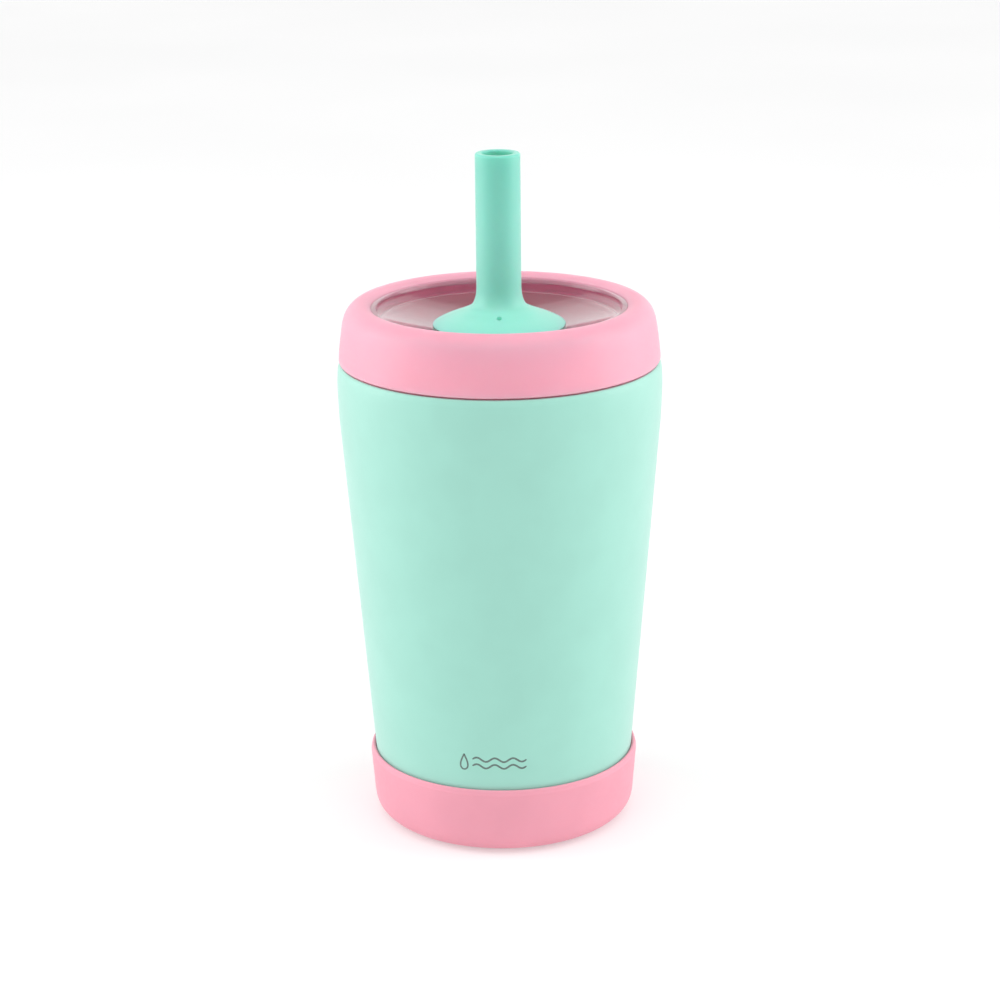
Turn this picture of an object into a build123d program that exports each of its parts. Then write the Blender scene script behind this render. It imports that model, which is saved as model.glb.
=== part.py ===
from build123d import *
import math
import os

# Insulated straw cup for a small child.
# Millimetres, +Z up, origin on the cup's axis at the underside of the base boot,
# the cup's front (the side with the vent in the straw's flange) towards -Y.

# ---------------------------------------------------------------- dimensions
# overall
SEAM_Z = 124.0            # top of the steel cup, where the lid sits down
RIM_MAX_R = 41.96         # widest radius of the cup, just under the lid
RIM_MAX_Z = 118.7
TAPER = 0.0806            # wall slope, radius gained per mm of height
TAPER_R0 = 35.1           # outer radius at TAPER_Z0
TAPER_Z0 = 28.0
TAPER_TOP_Z = 104.8       # the straight taper ends here

# sheet steel
STEEL = 0.5
SHELL_BOTTOM_Z = 2.6      # lowest point of the steel cup
SHELL_CORNER_R = 3.2
SHELL_OPEN_R = 29.2       # opening in the turned-in bottom edge
VACUUM_GAP = 2.4
NECK_R_IN = 39.8          # straight neck that the lid seals in
NECK_LOW_Z = 109.2
LINER_TAPER_TOP_Z = 103.5
LINER_JOIN_Z = 14.0       # weld between the inner wall and the inner floor
LINER_FLOOR_Z = 9.6       # underside of the inner floor

# outer bottom plate, its vacuum dimple and the cover under it
PLATE_Z = 4.7
PLATE_FLANGE_TOP_Z = 7.8
DIMPLE_R = 6.0
DIMPLE_H = 1.1
VAC_HOLE_R = 0.8
COVER_Z = 2.75
COVER_T = 0.4
COVER_R = 29.1
GETTER_X = 15.0
GETTER_R = 3.6
GETTER_T = 1.7

# silicone base boot
BOOT_FLOOR_T = 2.45
BOOT_CORNER_R = 5.8
BOOT_CORNER_CENTRE_R = 29.05
BOOT_SIDE_Z = 6.2
BOOT_SIDE_R = 34.84
BOOT_EDGE_Z = 16.7        # start of the rounded top edge
BOOT_EDGE_R = 35.66
BOOT_TOP_Z = 18.4
BOOT_CLEAR = 0.12
FOOT_R_IN = 21.5          # the foot ring starts here; inside it the underside is recessed
FOOT_RECESS = 0.7

# lid
COLLAR_R_IN = 38.45
CONTACT_R = 40.4          # the collar sits on the steel lip inside this radius
LIP_R_IN = 33.05          # inner edge of the pink lip
LIP_UNDER_Z = 136.6
DISH_RIM_R = 32.95
DISH_RIM_TOP_Z = 138.1
DISH_FLANGE_Z = 136.5
DISH_FLOOR_Z = 133.1
DISH_T = 1.8
BOWL_R0 = 17.4            # the flat seat for the straw flange ends here
BOWL_R1 = 31.0            # the bowl's top, under the rim
BOWL_SPHERE_R = 90.0      # the bowl is a shallow spherical dish
DISH_UNDER_Z = 134.75     # flat underside between the bowl and the skirt
SKIRT_R_OUT = 38.35
SKIRT_R_IN = 36.5
SKIRT_THICK_R_IN = 35.8
SKIRT_STEP_Z = 131.0
SKIRT_BOTTOM_Z = 112.4
GROOVE_R = 37.35
GROOVE_LOW_Z = 113.9
GROOVE_HIGH_Z = 120.3
STRAW_HOLE_R = 8.0
FIN_R = 39.65             # the seal's fins, a running fit in the neck
VENT_R_POS = 9.6         # both vent holes are this far from the axis, at the front
DISH_VENT_R = 0.8

# straw
SPOUT_R = 5.76
SPOUT_BORE_R = 3.9
SPOUT_TOP_Z = 177.5
FLANGE_R = 17.05
PLUG_R = 7.92
PLUG_BOTTOM_Z = 121.5
SOCKET_R = 4.62
SOCKET_TOP_Z = 131.6
SPOUT_VENT_R = 0.7
STEM_R = 4.55
STEM_BORE_R = 3.6
STEM_BOTTOM_Z = 15.0
STEM_CUT_DEG = 35.0


def shell_r(z):
    """Outer radius of the steel cup on its straight taper."""
    return TAPER_R0 + TAPER * (z - TAPER_Z0)


def turned(face):
    """Full turn of a half section in the XZ plane about Z."""
    return revolve(face, axis=Axis.Z, revolution_arc=360)


def section(draw):
    """Face in the XZ plane from a function that draws its closed outline."""
    with BuildSketch(Plane.XZ) as sk:
        with BuildLine():
            draw()
        make_face()
    return sk.sketch


def polygon(pts):
    def draw():
        Polyline(*pts, close=True)
    return section(draw)


# ---------------------------------------------------------------- steel cup
def make_outer_shell():
    zb = SHELL_BOTTOM_Z + SHELL_CORNER_R
    ob = (shell_r(zb), zb)
    ot = (shell_r(TAPER_TOP_Z), TAPER_TOP_Z)
    it = (ot[0] - STEEL, TAPER_TOP_Z)
    ib = (ob[0] - STEEL, zb)

    def draw():
        # outside: turned-in bottom, straight taper, soft shoulder, rounded lip
        l0 = Line((SHELL_OPEN_R, SHELL_BOTTOM_Z), (ob[0] - SHELL_CORNER_R, SHELL_BOTTOM_Z))
        a0 = TangentArc((ob[0] - SHELL_CORNER_R, SHELL_BOTTOM_Z), ob, tangent=(1, 0))
        l1 = Line(ob, ot)
        s1 = Spline(ot, (41.665, 109.6), (41.87, 114.4), (RIM_MAX_R, RIM_MAX_Z),
                    (41.86, 121.4), (41.62, 123.0), tangents=[(TAPER, 1), (-0.32, 1)])
        s2 = Spline((41.62, 123.0), (41.38, 123.62), (40.95, SEAM_Z),
                    tangents=[(-0.32, 1), (-1, 0)])
        l2 = Line((40.95, SEAM_Z), (40.35, SEAM_Z))
        l3 = Line((40.35, SEAM_Z), (40.35, SEAM_Z - STEEL))
        # inside, one sheet thickness in
        s3 = Spline((40.35, SEAM_Z - STEEL), (40.85, 123.35), (41.14, 122.85),
                    tangents=[(1, 0), (0.32, -1)])
        s4 = Spline((41.14, 122.85), (41.37, 121.2), (41.46, 118.6), (41.37, 114.4),
                    (41.165, 109.6), it, tangents=[(0.32, -1), (-TAPER, -1)])
        l4 = Line(it, ib)
        a1 = TangentArc(ib, (ob[0] - SHELL_CORNER_R, SHELL_BOTTOM_Z + STEEL), tangent=(-TAPER, -1))
        l5 = Line((ob[0] - SHELL_CORNER_R, SHELL_BOTTOM_Z + STEEL), (SHELL_OPEN_R, SHELL_BOTTOM_Z + STEEL))
        l6 = Line((SHELL_OPEN_R, SHELL_BOTTOM_Z + STEEL), (SHELL_OPEN_R, SHELL_BOTTOM_Z))
    return turned(section(draw))


def liner_r(z):
    """Outer radius of the inner wall on its taper."""
    return shell_r(z) - STEEL - VACUUM_GAP


def make_inner_wall():
    zt = LINER_TAPER_TOP_Z
    o0, o1 = (liner_r(LINER_JOIN_Z), LINER_JOIN_Z), (liner_r(zt), zt)
    rn = NECK_R_IN + STEEL

    def draw():
        Line(o0, o1)
        Spline(o1, (rn, NECK_LOW_Z), tangents=[(TAPER, 1), (0, 1)])
        Line((rn, NECK_LOW_Z), (rn, SEAM_Z))
        Line((rn, SEAM_Z), (NECK_R_IN + 0.2, SEAM_Z))
        Line((NECK_R_IN + 0.2, SEAM_Z), (NECK_R_IN, SEAM_Z - 0.25))
        Line((NECK_R_IN, SEAM_Z - 0.25), (NECK_R_IN, NECK_LOW_Z))
        Spline((NECK_R_IN, NECK_LOW_Z), (o1[0] - STEEL, zt), tangents=[(0, -1), (-TAPER, -1)])
        Line((o1[0] - STEEL, zt), (o0[0] - STEEL, LINER_JOIN_Z))
        Line((o0[0] - STEEL, LINER_JOIN_Z), o0)
    return turned(section(draw))


def make_inner_floor():
    # pressed pan, butt-welded to the inner wall, with a shallow raised centre
    rj = liner_r(LINER_JOIN_Z)
    zj = LINER_JOIN_Z
    r0 = rj - 3.6
    zf = LINER_FLOOR_Z

    def draw():
        Line((0, zf + 0.6), (19.0, zf + 0.6))
        Spline((19.0, zf + 0.6), (22.0, zf), tangents=[(1, 0), (1, 0)])
        Line((22.0, zf), (r0, zf))
        Spline((r0, zf), (rj, zj), tangents=[(1, 0), (TAPER, 1)])
        Line((rj, zj), (rj - STEEL, zj))
        Spline((rj - STEEL, zj), (r0, zf + STEEL), tangents=[(-TAPER, -1), (-1, 0)])
        Line((r0, zf + STEEL), (22.0, zf + STEEL))
        Spline((22.0, zf + STEEL), (19.0, zf + STEEL + 0.6), tangents=[(-1, 0), (-1, 0)])
        Line((19.0, zf + STEEL + 0.6), (0, zf + STEEL + 0.6))
        Line((0, zf + STEEL + 0.6), (0, zf + 0.6))
    return turned(section(draw))


def make_outer_bottom():
    # welded inside the shell; a dimple pressed inwards holds the pump-out hole
    t = STEEL
    z = PLATE_Z
    zt = PLATE_FLANGE_TOP_Z
    rt = shell_r(zt) - STEEL - 0.05
    rm = shell_r(z + 1.6) - STEEL - 0.35
    pts = [
        (VAC_HOLE_R, z + DIMPLE_H), (DIMPLE_R - 1.6, z + DIMPLE_H), (DIMPLE_R, z),
        (rm - 1.3, z), (rm, z + 1.4), (rt, zt), (rt - t, zt), (rm - t, z + 1.7),
        (rm - 1.5, z + t), (DIMPLE_R + 0.3, z + t), (DIMPLE_R - 1.3, z + DIMPLE_H + t),
        (VAC_HOLE_R, z + DIMPLE_H + t),
    ]
    return turned(polygon(pts))


def make_vacuum_seal():
    # bead of solder that closes the pump-out hole from outside
    z = PLATE_Z + DIMPLE_H

    def draw():
        Line((0, z - 0.9), (0.001, z - 0.9))
        Spline((0.001, z - 0.9), (1.9, z - 0.65), (2.8, z), tangents=[(1, 0), (0.2, 1)])
        Line((2.8, z), (VAC_HOLE_R, z))
        Line((VAC_HOLE_R, z), (VAC_HOLE_R, z + STEEL + 0.15))
        Line((VAC_HOLE_R, z + STEEL + 0.15), (0, z + STEEL + 0.15))
        Line((0, z + STEEL + 0.15), (0, z - 0.9))
    return turned(section(draw))


def make_getter():
    top = PLATE_Z + STEEL
    tablet = Pos(GETTER_X, 0, top + GETTER_T / 2) * Cylinder(GETTER_R, GETTER_T)
    return chamfer(tablet.edges().group_by(Axis.Z)[-1], 0.3)


def make_getter_clip():
    # strap of thin sheet over the tablet, spot-welded at both feet
    t = 0.3
    top = PLATE_Z + STEEL
    h = top + GETTER_T
    g = GETTER_R + 0.05
    foot = 2.0
    pts = [
        (-g - t - foot, top), (-g - t - foot, top + t), (-g - t, top + t), (-g - t, h + t),
        (g + t, h + t), (g + t, top + t), (g + t + foot, top + t), (g + t + foot, top),
        (g, top), (g, h), (-g, h), (-g, top),
    ]
    with BuildSketch(Plane.XZ) as sk:
        with BuildLine():
            Polyline(*pts, close=True)
        make_face()
    strap = extrude(sk.sketch, amount=1.6, both=True)
    return Pos(GETTER_X, 0, 0) * strap


def make_bottom_cover():
    z = COVER_Z
    t = COVER_T
    pts = [(0, z + 0.25), (24.0, z + 0.25), (24.8, z), (COVER_R, z), (COVER_R, z + 1.6),
           (COVER_R - t, z + 1.6), (COVER_R - t, z + t), (25.0, z + t), (24.2, z + t + 0.25), (0, z + t + 0.25)]
    return turned(polygon(pts))


# ---------------------------------------------------------------- base boot
def make_boot():
    c = BOOT_CORNER_R
    zb = SHELL_BOTTOM_Z + SHELL_CORNER_R
    ri = shell_r(zb) + BOOT_CLEAR
    edge_r = shell_r(BOOT_TOP_Z - 0.5) + BOOT_CLEAR

    def draw():
        Line((0, FOOT_RECESS), (FOOT_R_IN - 0.9, FOOT_RECESS))
        Spline((FOOT_R_IN - 0.9, FOOT_RECESS), (FOOT_R_IN + 0.6, 0), tangents=[(1, 0), (1, 0)])
        Line((FOOT_R_IN + 0.6, 0), (BOOT_CORNER_CENTRE_R, 0))
        Spline((BOOT_CORNER_CENTRE_R, 0),
               (BOOT_CORNER_CENTRE_R + c * math.sin(math.radians(35)), c - c * math.cos(math.radians(35))),
               (BOOT_CORNER_CENTRE_R + c * math.sin(math.radians(62)), c - c * math.cos(math.radians(62))),
               (BOOT_SIDE_R, BOOT_SIDE_Z), tangents=[(1, 0), (TAPER, 1)])
        Line((BOOT_SIDE_R, BOOT_SIDE_Z), (BOOT_EDGE_R, BOOT_EDGE_Z))
        Spline((BOOT_EDGE_R, BOOT_EDGE_Z), (BOOT_EDGE_R - 0.16, BOOT_EDGE_Z + 0.95),
               (BOOT_EDGE_R - 0.62, BOOT_TOP_Z), tangents=[(TAPER, 1), (-1, 0.1)])
        Spline((BOOT_EDGE_R - 0.62, BOOT_TOP_Z), (edge_r, BOOT_TOP_Z - 0.5),
               tangents=[(-1, 0.1), (-TAPER, -1)])
        Line((edge_r, BOOT_TOP_Z - 0.5), (ri, zb))
        Spline((ri, zb), (ri - SHELL_CORNER_R, BOOT_FLOOR_T), tangents=[(-TAPER, -1), (-1, 0)])
        Line((ri - SHELL_CORNER_R, BOOT_FLOOR_T), (0, BOOT_FLOOR_T))
        Line((0, BOOT_FLOOR_T), (0, FOOT_RECESS))
    return turned(section(draw))


# ---------------------------------------------------------------- lid
def make_collar():
    def draw():
        # a narrow ring sits on the steel lip; outside it the underside is relieved
        Line((COLLAR_R_IN, SEAM_Z), (CONTACT_R, SEAM_Z))
        Line((CONTACT_R, SEAM_Z), (CONTACT_R + 0.2, SEAM_Z + 0.3))
        Line((CONTACT_R + 0.2, SEAM_Z + 0.3), (41.2, SEAM_Z + 0.3))
        Spline((41.2, SEAM_Z + 0.3), (41.44, SEAM_Z + 0.62), (41.45, SEAM_Z + 1.0),
               tangents=[(1, 0.2), (-0.03, 1)])
        Spline((41.45, SEAM_Z + 1.0), (41.31, 126.9), (41.1, 128.8), (40.86, 130.7), (40.6, 132.5),
               (40.26, 134.5), (39.98, 135.5), (39.58, 136.5), (38.98, 137.42), (38.02, 138.38),
               (36.9, 138.98), (35.6, 139.2),
               tangents=[(-0.03, 1), (-1, 0)])
        Spline((35.6, 139.2), (34.1, 138.95), (LIP_R_IN + 0.12, 138.36), (LIP_R_IN, 138.1),
               tangents=[(-1, 0), (0, -1)])
        Line((LIP_R_IN, 138.1), (LIP_R_IN, LIP_UNDER_Z))
        Line((LIP_R_IN, LIP_UNDER_Z), (COLLAR_R_IN, LIP_UNDER_Z))
        Line((COLLAR_R_IN, LIP_UNDER_Z), (COLLAR_R_IN, SEAM_Z))
    return turned(section(draw))


def bowl_z(r):
    return DISH_FLOOR_Z + (r * r - BOWL_R0 * BOWL_R0) / (2 * BOWL_SPHERE_R)


def bowl_slope(r):
    return r / BOWL_SPHERE_R


def make_dish():
    def offset(r):
        """Point of the bowl's underside, square below the bowl at radius r."""
        k = bowl_slope(r)
        n = math.sqrt(1 + k * k)
        return (r + DISH_T * k / n, bowl_z(r) - DISH_T / n)

    top = [(r, bowl_z(r)) for r in (20.0, 22.5, 25.0, 27.5, 29.5)]
    end = bowl_slope(BOWL_R1)
    # radius where the underside of the bowl comes down to the flat ring
    lo, hi = BOWL_R0, BOWL_R1
    for _ in range(40):
        mid = (lo + hi) / 2
        if offset(mid)[1] < DISH_UNDER_Z:
            lo = mid
        else:
            hi = mid
    k0 = bowl_slope(lo)
    u0 = (offset(lo)[0], DISH_UNDER_Z)
    under = [offset(r) for r in (28.0, 25.5, 23.0, 20.5)]
    seat_r = BOWL_R0 + 0.8
    z_fl = DISH_UNDER_Z

    def draw():
        # top: flat seat, spherical bowl, steep inner wall of the rim, level rim
        Line((STRAW_HOLE_R, DISH_FLOOR_Z), (BOWL_R0, DISH_FLOOR_Z))
        Spline((BOWL_R0, DISH_FLOOR_Z), *top, (BOWL_R1, bowl_z(BOWL_R1)),
               tangents=[(1, bowl_slope(BOWL_R0)), (1, end)])
        Spline((BOWL_R1, bowl_z(BOWL_R1)), (31.42, 137.3), tangents=[(1, end), (0.2, 1)])
        Line((31.42, 137.3), (31.5, 137.8))
        Spline((31.5, 137.8), (31.8, DISH_RIM_TOP_Z), tangents=[(0.2, 1), (1, 0)])
        Line((31.8, DISH_RIM_TOP_Z), (DISH_RIM_R - 0.15, DISH_RIM_TOP_Z))
        Line((DISH_RIM_R - 0.15, DISH_RIM_TOP_Z), (DISH_RIM_R, DISH_RIM_TOP_Z - 0.15))
        Line((DISH_RIM_R, DISH_RIM_TOP_Z - 0.15), (DISH_RIM_R, DISH_FLANGE_Z))
        # flange under the lip, then the plug skirt with the seal groove
        Line((DISH_RIM_R, DISH_FLANGE_Z), (SKIRT_R_OUT, DISH_FLANGE_Z))
        Line((SKIRT_R_OUT, DISH_FLANGE_Z), (SKIRT_R_OUT, GROOVE_HIGH_Z))
        Line((SKIRT_R_OUT, GROOVE_HIGH_Z), (GROOVE_R, GROOVE_HIGH_Z))
        Line((GROOVE_R, GROOVE_HIGH_Z), (GROOVE_R, GROOVE_LOW_Z))
        Line((GROOVE_R, GROOVE_LOW_Z), (SKIRT_R_OUT, GROOVE_LOW_Z))
        Line((SKIRT_R_OUT, GROOVE_LOW_Z), (SKIRT_R_OUT, SKIRT_BOTTOM_Z + 0.6))
        Line((SKIRT_R_OUT, SKIRT_BOTTOM_Z + 0.6), (SKIRT_R_OUT - 0.5, SKIRT_BOTTOM_Z))
        Line((SKIRT_R_OUT - 0.5, SKIRT_BOTTOM_Z), (SKIRT_R_IN, SKIRT_BOTTOM_Z))
        Line((SKIRT_R_IN, SKIRT_BOTTOM_Z), (SKIRT_R_IN, SKIRT_STEP_Z - 0.2))
        Line((SKIRT_R_IN, SKIRT_STEP_Z - 0.2), (SKIRT_THICK_R_IN, SKIRT_STEP_Z + 0.2))
        Line((SKIRT_THICK_R_IN, SKIRT_STEP_Z + 0.2), (SKIRT_THICK_R_IN, z_fl - 1.1))
        Spline((SKIRT_THICK_R_IN, z_fl - 1.1), (SKIRT_THICK_R_IN - 1.1, z_fl), tangents=[(0, 1), (-1, 0)])
        Line((SKIRT_THICK_R_IN - 1.1, z_fl), u0)
        # underside of the bowl
        Spline(u0, *under, (seat_r, DISH_FLOOR_Z - DISH_T), tangents=[(-1, -k0), (-1, -bowl_slope(BOWL_R0))])
        Line((seat_r, DISH_FLOOR_Z - DISH_T), (STRAW_HOLE_R, DISH_FLOOR_Z - DISH_T))
        Line((STRAW_HOLE_R, DISH_FLOOR_Z - DISH_T), (STRAW_HOLE_R, DISH_FLOOR_Z))
    dish = turned(section(draw))
    vent = Pos(0, -VENT_R_POS, DISH_FLOOR_Z - DISH_T / 2) * Cylinder(DISH_VENT_R, DISH_T + 2)
    return dish - vent


def make_gasket():
    gi = GROOVE_R + 0.05
    go = SKIRT_R_OUT - 0.05
    zl = GROOVE_LOW_Z + 0.1
    zh = GROOVE_HIGH_Z - 0.1
    pts = [(gi, zl), (go, zl)]
    for zf in (zl + 0.6, zl + 2.6, zl + 4.6):
        # each fin leans up and thins towards its tip
        pts += [(go, zf), (FIN_R - 0.12, zf + 0.42), (FIN_R, zf + 0.62), (FIN_R - 0.05, zf + 0.85), (go, zf + 0.95)]
    pts += [(go, zh), (gi, zh)]
    return turned(polygon(pts))


# ---------------------------------------------------------------- straw
def make_spout():
    fz = DISH_FLOOR_Z + 0.05

    def draw():
        # bore and mouth
        Line((SPOUT_BORE_R, SOCKET_TOP_Z), (SPOUT_BORE_R, SPOUT_TOP_Z - 0.5))
        Spline((SPOUT_BORE_R, SPOUT_TOP_Z - 0.5), (SPOUT_BORE_R + 0.45, SPOUT_TOP_Z), tangents=[(0, 1), (1, 0)])
        Line((SPOUT_BORE_R + 0.45, SPOUT_TOP_Z), (SPOUT_R - 0.5, SPOUT_TOP_Z))
        Spline((SPOUT_R - 0.5, SPOUT_TOP_Z), (SPOUT_R, SPOUT_TOP_Z - 0.55), tangents=[(1, 0), (0, -1)])
        # outside of the tube, swept out into the cone of the flange
        Line((SPOUT_R, SPOUT_TOP_Z - 0.55), (SPOUT_R, 143.4))
        Spline((SPOUT_R, 143.4), (5.95, 141.0), (6.3, 139.7), (7.05, 138.35), (8.55, 137.4), (10.7, 136.42),
               tangents=[(0, -1), (1, -0.42)])
        Spline((10.7, 136.42), (13.2, 135.46), (15.1, 134.63), (16.3, 134.02), (16.88, 133.64), (FLANGE_R, 133.38),
               (16.8, fz), tangents=[(1, -0.42), (-1, -0.35)])
        Line((16.8, fz), (PLUG_R, fz))
        # plug through the lid, and the socket for the stem
        Line((PLUG_R, fz), (PLUG_R, PLUG_BOTTOM_Z + 0.9))
        Line((PLUG_R, PLUG_BOTTOM_Z + 0.9), (PLUG_R - 0.7, PLUG_BOTTOM_Z))
        Line((PLUG_R - 0.7, PLUG_BOTTOM_Z), (SOCKET_R + 0.3, PLUG_BOTTOM_Z))
        Line((SOCKET_R + 0.3, PLUG_BOTTOM_Z), (SOCKET_R, PLUG_BOTTOM_Z + 0.4))
        Line((SOCKET_R, PLUG_BOTTOM_Z + 0.4), (SOCKET_R, SOCKET_TOP_Z))
        Line((SOCKET_R, SOCKET_TOP_Z), (SPOUT_BORE_R, SOCKET_TOP_Z))
    spout = turned(section(draw))
    vent = Pos(0, -VENT_R_POS, 135.5) * Cylinder(SPOUT_VENT_R, 8)
    return spout - vent


def make_stem():
    top = SOCKET_TOP_Z - 0.1
    pts = [(STEM_BORE_R, STEM_BOTTOM_Z), (STEM_R, STEM_BOTTOM_Z), (STEM_R, top - 0.5),
           (STEM_R - 0.35, top), (STEM_BORE_R, top)]
    stem = turned(polygon(pts))
    # slanted end, so it never seals against the cup's floor
    rise = 2 * STEM_R * math.tan(math.radians(STEM_CUT_DEG))
    with BuildSketch(Plane.XZ) as sk:
        with BuildLine():
            Polyline((-STEM_R - 1, STEM_BOTTOM_Z - 1), (STEM_R + 1, STEM_BOTTOM_Z - 1),
                     (STEM_R + 1, STEM_BOTTOM_Z + rise * (2 * STEM_R + 1) / (2 * STEM_R)),
                     (-STEM_R, STEM_BOTTOM_Z), (-STEM_R - 1, STEM_BOTTOM_Z), close=True)
        make_face()
    return stem - extrude(sk.sketch, amount=20, both=True)


NODES = {
    "outer_shell": make_outer_shell,
    "inner_wall": make_inner_wall,
    "inner_floor": make_inner_floor,
    "outer_bottom": make_outer_bottom,
    "vacuum_seal": make_vacuum_seal,
    "getter_tablet": make_getter,
    "getter_clip": make_getter_clip,
    "bottom_cover": make_bottom_cover,
    "base_boot": make_boot,
    "lid_collar": make_collar,
    "lid_dish": make_dish,
    "lid_seal": make_gasket,
    "straw_spout": make_spout,
    "straw_stem": make_stem,
}

os.makedirs("parts", exist_ok=True)
for name, make in NODES.items():
    solid = make()
    solid.label = name
    export_step(solid, f"parts/{name}.step")
    b = solid.bounding_box()
    print(f"{name:14s} vol {solid.volume/1000:8.3f} cm3  x {b.min.X:7.2f} {b.max.X:7.2f}  z {b.min.Z:7.2f} {b.max.Z:7.2f}  solids {len(solid.solids())}")
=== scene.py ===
import math

import bpy
import bmesh
import numpy as np
from mathutils import Matrix, Vector


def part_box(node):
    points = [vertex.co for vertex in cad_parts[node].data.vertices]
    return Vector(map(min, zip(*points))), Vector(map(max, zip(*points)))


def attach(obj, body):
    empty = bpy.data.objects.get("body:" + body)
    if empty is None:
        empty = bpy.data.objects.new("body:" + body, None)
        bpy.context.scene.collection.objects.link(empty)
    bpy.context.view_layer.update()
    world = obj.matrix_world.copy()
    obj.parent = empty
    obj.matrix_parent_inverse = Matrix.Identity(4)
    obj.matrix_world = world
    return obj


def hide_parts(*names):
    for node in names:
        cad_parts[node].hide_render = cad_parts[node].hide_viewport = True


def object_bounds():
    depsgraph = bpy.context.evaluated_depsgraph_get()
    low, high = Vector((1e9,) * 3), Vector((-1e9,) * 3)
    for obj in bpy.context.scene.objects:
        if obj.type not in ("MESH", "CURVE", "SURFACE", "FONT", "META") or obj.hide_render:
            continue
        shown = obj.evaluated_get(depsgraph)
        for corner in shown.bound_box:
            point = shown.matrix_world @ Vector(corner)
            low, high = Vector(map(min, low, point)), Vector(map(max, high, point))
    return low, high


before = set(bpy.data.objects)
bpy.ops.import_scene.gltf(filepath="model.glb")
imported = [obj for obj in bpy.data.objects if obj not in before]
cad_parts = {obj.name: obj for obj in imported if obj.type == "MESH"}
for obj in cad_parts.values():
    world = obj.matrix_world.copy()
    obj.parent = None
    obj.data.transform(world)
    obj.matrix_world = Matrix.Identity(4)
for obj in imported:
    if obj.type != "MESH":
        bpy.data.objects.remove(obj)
CAD_BOX = [list(map(float, v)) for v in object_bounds()]
MM = 0.001


# ------------------------------------------------------------------ profiles
# A profile is a list of (radius, height) in millimetres that is turned about Z.
# The heights of the seam, the rim and the straw come from the CAD nodes' boxes.

def top_of(node):
    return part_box(node)[1].z / MM


def bottom_of(node):
    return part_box(node)[0].z / MM


SEAM = top_of("outer_shell")          # the cup's lip, where the lid sits
SPOUT_TOP = top_of("straw_spout")
DISH_TOP = top_of("lid_dish")
BOOT_TOP = top_of("base_boot")
STEM_LOW = bottom_of("straw_stem")
STEM_TOP = top_of("straw_stem")

TAPER = 0.0806


def shell_r(z):
    return 35.1 + TAPER * (z - 28.0)


def liner_r(z):
    return shell_r(z) - 2.9


class Profile:
    """Outline drawn with straight runs and splines; corners can be eased."""

    def __init__(self, r, z):
        self.pts = [(r, z)]
        self.ease = {}

    def to(self, r, z, n=1, ease=0.0):
        r0, z0 = self.pts[-1]
        for i in range(1, n + 1):
            t = i / n
            self.pts.append((r0 + (r - r0) * t, z0 + (z - z0) * t))
        if ease:
            self.ease[len(self.pts) - 1] = ease
        return self

    def arc(self, cr, cz, rad, a0, a1, n):
        for i in range(1, n + 1):
            a = math.radians(a0 + (a1 - a0) * i / n)
            self.pts.append((cr + rad * math.cos(a), cz + rad * math.sin(a)))
        return self

    def spline(self, pts, t0, t1, n=6):
        """Clamped cubic spline from the last point through pts, n spans between neighbours."""
        p = np.array([self.pts[-1]] + list(pts), float)
        t0 = np.array(t0, float) / np.hypot(*t0)
        t1 = np.array(t1, float) / np.hypot(*t1)
        h = np.hypot(*(p[1:] - p[:-1]).T)
        m = len(p)
        a = np.zeros((m, m))
        b = np.zeros((m, 2))
        a[0, 0] = a[-1, -1] = 1
        b[0], b[-1] = t0, t1
        for i in range(1, m - 1):
            a[i, i - 1] = h[i]
            a[i, i] = 2 * (h[i - 1] + h[i])
            a[i, i + 1] = h[i - 1]
            b[i] = 3 * (h[i] * (p[i] - p[i - 1]) / h[i - 1] + h[i - 1] * (p[i + 1] - p[i]) / h[i])
        d = np.linalg.solve(a, b)
        for i in range(m - 1):
            for k in range(1, n + 1):
                s = k / n
                s2, s3 = s * s, s * s * s
                q = ((2 * s3 - 3 * s2 + 1) * p[i] + (s3 - 2 * s2 + s) * h[i] * d[i]
                     + (-2 * s3 + 3 * s2) * p[i + 1] + (s3 - s2) * h[i] * d[i + 1])
                self.pts.append((float(q[0]), float(q[1])))
        return self

    def points(self, steps=4):
        out = []
        n = len(self.pts)
        for i, c in enumerate(self.pts):
            e = self.ease.get(i, 0.0)
            if not e or i == 0 or i == n - 1:
                out.append(c)
                continue
            c = np.array(c)
            before = np.array(self.pts[i - 1])
            after = np.array(self.pts[i + 1])
            la, lb = np.hypot(*(before - c)), np.hypot(*(after - c))
            a = c + (before - c) / la * min(e, la * 0.48)
            b = c + (after - c) / lb * min(e, lb * 0.48)
            for k in range(steps + 1):
                t = k / steps
                q = (1 - t) ** 2 * a + 2 * t * (1 - t) * c + t * t * b
                out.append((float(q[0]), float(q[1])))
        clean = [out[0]]
        for q in out[1:]:
            if math.hypot(q[0] - clean[-1][0], q[1] - clean[-1][1]) > 1e-4:
                clean.append(q)
        return clean


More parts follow.
